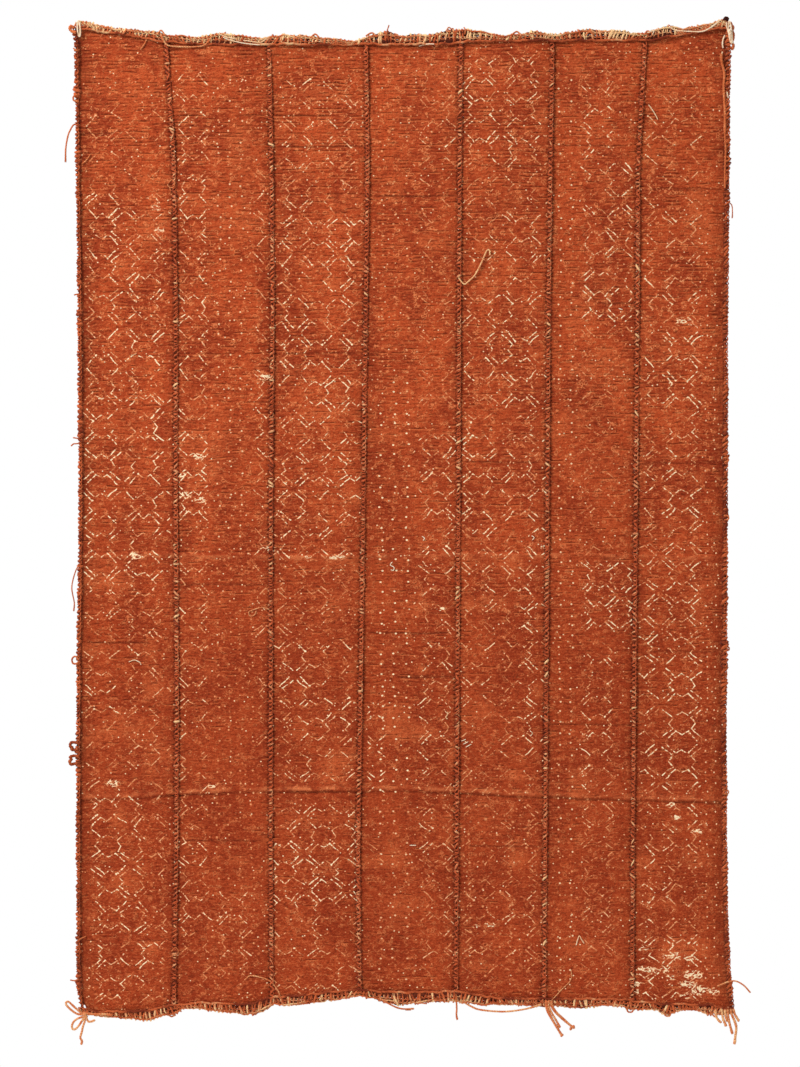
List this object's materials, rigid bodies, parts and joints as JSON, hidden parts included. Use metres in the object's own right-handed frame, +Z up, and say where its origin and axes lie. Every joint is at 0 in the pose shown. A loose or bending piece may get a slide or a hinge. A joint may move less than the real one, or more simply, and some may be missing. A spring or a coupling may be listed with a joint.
{
  "type": "mud cloth",
  "caption": "Hung rectangular cloth of narrow hand-woven strips whipped together, with overcast edges, loose yarn ends, a yarn bow and small tassels.",
  "frame": {"origin": "middle of the cloth's top edge, where it is held", "axes": "+Z up, the cloth hangs down along -Z; +X to the right seen from the front; the patterned front faces -Y"},
  "size_m": [1.1261, 0.0151, 1.6848],
  "materials": {
    "cloth": "matt hand-woven cotton, rust brown with thin pale lines and dots",
    "seam_yarn": "matt dark rust sewing yarn",
    "edge_yarn": "matt rust and cream overcasting yarn",
    "loose_yarn": "matt light rust yarn",
    "pale_yarn": "matt undyed cotton yarn"
  },
  "bodies": {
    "root": {"strip_1": "cloth", "strip_2": "cloth", "strip_3": "cloth", "strip_4": "cloth", "strip_5": "cloth", "strip_6": "cloth", "strip_7": "cloth", "seam_1": "seam_yarn", "seam_2": "seam_yarn", "seam_3": "seam_yarn", "seam_4": "seam_yarn", "seam_5": "seam_yarn", "seam_6": "seam_yarn", "top_roll": "edge_yarn", "bottom_roll": "edge_yarn", "left_roll": "edge_yarn", "right_roll": "edge_yarn", "left_thread_upper": "loose_yarn", "left_thread_lower": "loose_yarn", "left_stub_upper": "loose_yarn", "left_stub_middle": "loose_yarn", "left_stub_lower": "loose_yarn", "right_thread": "loose_yarn", "right_whisker": "loose_yarn", "top_cord": "loose_yarn", "top_pale_yarn": "pale_yarn", "bottom_cord": "loose_yarn", "bottom_stub": "loose_yarn", "seam_4_end": "loose_yarn", "seam_4_yarn": "loose_yarn", "bow": "loose_yarn", "seam_5_tassel": "loose_yarn", "corner_tassel": "loose_yarn", "corner_loop_left": "pale_yarn", "corner_loop_right": "pale_yarn"}
  },
  "joints": []
}
